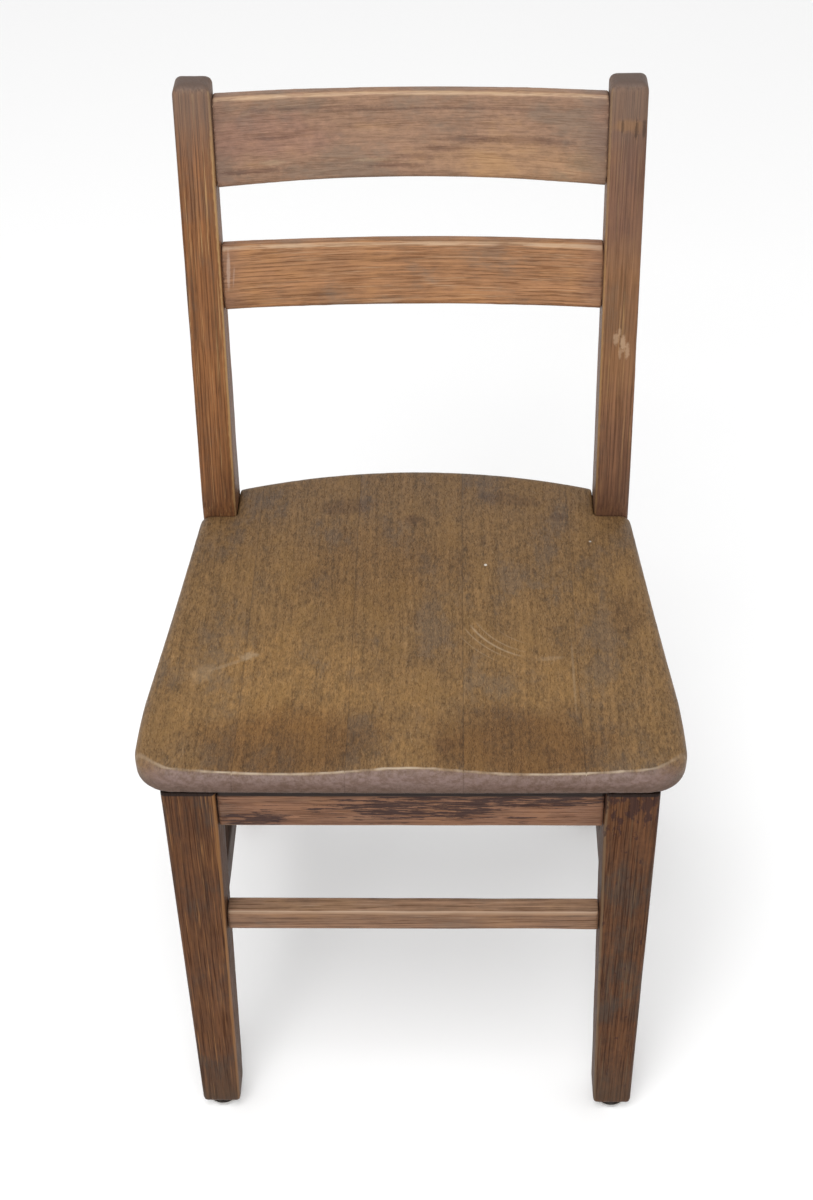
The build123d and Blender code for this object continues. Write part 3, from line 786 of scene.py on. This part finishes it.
def right_post_marks(tree, colour):
    """Mauve where the old varnish is thick, chipped near the top, and scuffed pale at half height."""
    marks = [((POST_X + x, POST_Y, z), (width, THROUGH, height), (0, 0, 0), 0.9, strength, tint)
             for x, z, width, height, strength, tint in RIGHT_POST_MARKS]
    return marked(tree, post_marks(tree, colour), marks, where=on_front(tree))


# Marks on the legs, the apron and the stretcher

LEG_TOP = box_mm("front_leg_right")[1][2]
LEG_FOOT = (0.060, 0.038, 0.023)
LEG_BLOTCH = (0.024, 0.008, 0.007)


def painted_seat_shadow(tree, colour, top, depth):
    """Painted shadow: a dark line at the top of a piece, where the seat's shadow falls on it."""
    return tree.mix(tree.step(tree.along(2), top - depth - 1.5, top - depth), colour, GRIME_AND_SHADE)


def leg_marks(tree, colour):
    """Dull and dusty at the foot, with a painted shadow line at the top under the seat."""
    dusty = tree.step(tree.along(2), 90.0, 20.0, 0.0, 0.45)
    return painted_seat_shadow(tree, tree.mix(dusty, colour, LEG_FOOT), LEG_TOP, 2.2)


def right_leg_marks(tree, colour):
    """Dark blotches below the seat, where old varnish is left."""
    blotch = tree.noise(tree.scaled(tree.place(), (0.13, 0.13, 0.06)), detail=4.0, rough=0.65)
    near_top = tree.step(tree.along(2), LEG_TOP - 75.0, LEG_TOP - 15.0, 0.0, 0.16)
    left = tree.step(tree.plus(blotch, near_top), 0.62, 0.69, 0.0, 0.75)
    return leg_marks(tree, tree.mix(left, colour, LEG_BLOTCH))


def apron_marks(tree, colour):
    """Bands of dark varnish left along the grain, thickest at the middle and at both ends."""
    low, high = box_mm("front_apron")
    left, front, bottom = low
    right, _, top = high
    spots = [             # across, height, half width, half height
        (right - 60.0, top - 9.0, 80.0, 15.0),
        (2.0, 0.5 * (bottom + top), 85.0, 17.0),
        (left + 30.0, bottom + 9.0, 34.0, 9.0),
    ]
    where = 0.0
    for x, z, width, height in spots:
        spot = tree.spot((x, front, z), (width, 30.0, height), ragged=0.3)
        where = tree.math("MAXIMUM", where, spot)
    blotch = tree.noise(tree.scaled(tree.place(), (0.03, 0.42, 0.42)), detail=5.0, rough=0.72)
    varnish = tree.step(tree.plus(blotch, tree.times(where, 0.15)), 0.59, 0.64, 0.0, 0.88)
    colour = tree.mix(varnish, colour, OLD_VARNISH)
    # painted shadow of the seat's nose along the apron's top
    return painted_seat_shadow(tree, colour, top, front - SEAT_FRONT + 0.3)


def stretcher_top_light_and_dust(tree, colour):
    """The top face is painted lighter and greyer: painted light from above, with pale dust."""
    dusty = tree.step(tree.facing(2), 0.6, 0.95)
    return tree.mix(dusty, colour, (1.45, 1.60, 1.75), "MULTIPLY")


# Marks on the back rails

RAIL_REACH = RIGHT_POST[0][0]
RAIL_END = (0.150, 0.085, 0.068)
CREST_Y = box_mm("crest_rail")[0][1] + 10.0
SLAT_Y = box_mm("lower_slat")[0][1] + 10.0
CREST_DARK = (0.50, 0.44, 0.46)
CREST_HEART = (1.18, 1.16, 1.0)
CREST_DULL = (0.95, 0.88, 0.98)
SLAT_SCRATCH = (0.48, 0.34, 0.25)
SLAT_SCRAPE = (0.45, 0.32, 0.24)

CREST_STREAKS = [         # across, height, half length, half width, strength
    (-85, 806, 70, 1.6, 0.45),
    (-30, 803, 60, 1.3, 0.45),
    (95, 779, 44, 3.4, 0.50),
    (50, 779, 26, 3.6, 0.50),
    (26, 771, 20, 3.0, 0.55),
    (6, 764, 18, 2.6, 0.50),
    (-130, 757, 30, 2.6, 0.70),
    (-12, 757, 26, 2.0, 0.60),
    (60, 804, 70, 1.4, 0.45),
    (-110, 783, 26, 1.2, 0.40),
]


def rail_marks(tree, colour):
    """Slightly darkened ends, where a back rail meets its posts."""
    dark = tree.step(tree.size(tree.along(0)), RAIL_REACH - 25.0, RAIL_REACH, 0.0, 0.35)
    return tree.mix(dark, colour, RAIL_END)


def crest_marks(tree, colour):
    """Broken dark streaks, and a paler heart of the grain low on the right with a dark outline."""
    stains = [((105.0, CREST_Y, 754.0), (100.0, THROUGH, 24.0), (0, 4, 0), 0.35, 0.8, CREST_HEART),
              ((-120.0, CREST_Y, 785.0), (60.0, THROUGH, 22.0), (0, 0, 0), 0.8, 0.7, CREST_DULL)]
    stains += [((x, CREST_Y, z), (length, THROUGH, width), (0, 0, 0), 0.8, strength, CREST_DARK)
               for x, z, length, width, strength in CREST_STREAKS]
    scratches = [((-113.0, CREST_Y, 763.0), (10.0, THROUGH, 2.6), (0, 0, 0), 0.8, 0.35, PALE),
                 ((-30.0, CREST_Y, 762.0), (18.0, THROUGH, 1.8), (0, 0, 0), 0.9, 0.3, PALE)]
    front = on_front(tree)
    colour = marked(tree, colour, stains, "MULTIPLY", front)
    return rail_marks(tree, marked(tree, colour, scratches, where=front))


def slat_marks(tree, colour):
    """One upright pale scratch near the left end."""
    scratches = [((-153.0, SLAT_Y, 674.0), (1.7, THROUGH, 18.0), (0, 3, 0), 0.4, 0.75, SLAT_SCRATCH),
                 ((-149.0, SLAT_Y, 668.0), (0.8, THROUGH, 11.0), (0, 6, 0), 0.5, 0.35, SLAT_SCRAPE)]
    return rail_marks(tree, marked(tree, colour, scratches, where=on_front(tree)))


# ---------------------------------------------------------------------------------------------
# The pieces

slots = {part["node"]: part["material_slot"] for part in frame["record"]["subparts"]}

TIMBER = [                # node, grain, look, marks, and the size of the mesh's faces in millimetres
    ("front_leg_left", "Z", LEG_LEFT, leg_marks, 1.5),
    ("front_leg_right", "Z", LEG_RIGHT, right_leg_marks, 1.5),
    ("back_post_left", "Z", POST_LEFT, post_marks, 1.5),
    ("back_post_right", "Z", POST_RIGHT, right_post_marks, 1.5),
    ("crest_rail", "X", CREST, crest_marks, 1.3),
    ("lower_slat", "X", SLAT, slat_marks, 1.3),
    ("front_apron", "X", APRON, apron_marks, 1.6),
    ("rear_apron", "X", SHADED_INNER_RAIL, None, 1.8),
    ("side_apron_left", "Y", SHADED_INNER_RAIL, None, 1.8),
    ("side_apron_right", "Y", SHADED_INNER_RAIL, None, 1.8),
    ("front_stretcher", "X", STRETCHER, stretcher_top_light_and_dust, 1.4),
    ("rear_stretcher", "X", SHADED_INNER_RAIL, None, 1.6),
    ("side_stretcher_left", "Y", SHADED_INNER_RAIL, None, 1.6),
    ("side_stretcher_right", "Y", SHADED_INNER_RAIL, None, 1.6),
    ("corner_block_front_left", "X", RAW_OAK, None, 1.5),
    ("corner_block_front_right", "X", RAW_OAK, None, 1.5),
    ("corner_block_rear_left", "X", RAW_OAK, None, 1.5),
    ("corner_block_rear_right", "X", RAW_OAK, None, 1.5),
]
SEAT_FACES = 1.8          # mm, the size of the seat mesh's faces
SEAT_SEED = 30
DOWEL_SEED = 50


def middle_of(node):
    low, high = box_mm(node)
    return [0.5 * (a + b) for a, b in zip(low, high)]


def add_timber():
    """Every wooden piece of the frame."""
    for seed, (node, grain, look, marks, size) in enumerate(TIMBER, start=1):
        mesh = evenly_faced(joined([nodes[node]]), size * MM)
        age(mesh, grain, seed)
        show(mesh, "worn_" + node, node, oak("oak_" + node, grain, look, seed, middle_of(node), marks))


def sawn(whole, low, high, name):
    """The part of a mesh between two planes across the chair, closed where it is cut."""
    board = bmesh.new()
    board.from_mesh(whole)
    for plane, outwards in ((low, -1.0), (high, 1.0)):
        everything = board.verts[:] + board.edges[:] + board.faces[:]
        cut = bmesh.ops.bisect_plane(board, geom=everything, plane_co=(plane, 0, 0),
                                     plane_no=(outwards, 0, 0), clear_outer=True)
        rim = [item for item in cut["geom_cut"] if isinstance(item, bmesh.types.BMEdge)]
        if rim:
            bmesh.ops.triangle_fill(board, edges=rim, use_beauty=True)
    mesh = bpy.data.meshes.new(name)
    board.to_mesh(mesh)
    board.free()
    return mesh


def add_seat():
    """The seat, made whole and then sawn along its glue lines, so that the boards run together."""
    names = ["seat_board_" + part for part in SEAT_BOARDS]
    lines = [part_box(name)[0][0] for name in names[1:]]
    work = joined([nodes[name] for name in names])
    without_glue_faces(work, lines)
    whole = evenly_faced(work, SEAT_FACES * MM)
    age(whole, "Y", SEAT_SEED, arris_wear=0.5, waviness=0.2)
    limits = [-FAR, *lines, FAR]
    for seed, (name, low, high) in enumerate(zip(names, limits, limits[1:]), start=SEAT_SEED + 1):
        mesh = sawn(whole, low, high, name)
        marks = seat_marks(low / MM, high / MM)
        show(mesh, "worn_" + name, name, oak("oak_" + name, "Y", SEAT, seed, middle_of(name), marks))


def paint_hardware():
    """The steel, rubber and dowel nodes keep their CAD shape."""
    paints = {
        "screw_steel": steel("steel_screw", (0.42, 0.40, 0.37), 0.35, 0.6),
        "glide_steel": steel("steel_glide", (0.62, 0.61, 0.59), 0.28, 0.3),
        "glide_rubber": rubber("rubber_cushion"),
        "dowel_wood": oak("oak_dowel", "X", RAW_OAK, DOWEL_SEED, (0.0, 0.0, 0.0)),
    }
    for node, slot in slots.items():
        if slot in paints:
            materials = nodes[node].data.materials
            materials.clear()
            materials.append(paints[slot])


add_camera()
add_floor()
add_sky()
add_lamps()
add_timber()
add_seat()
paint_hardware()
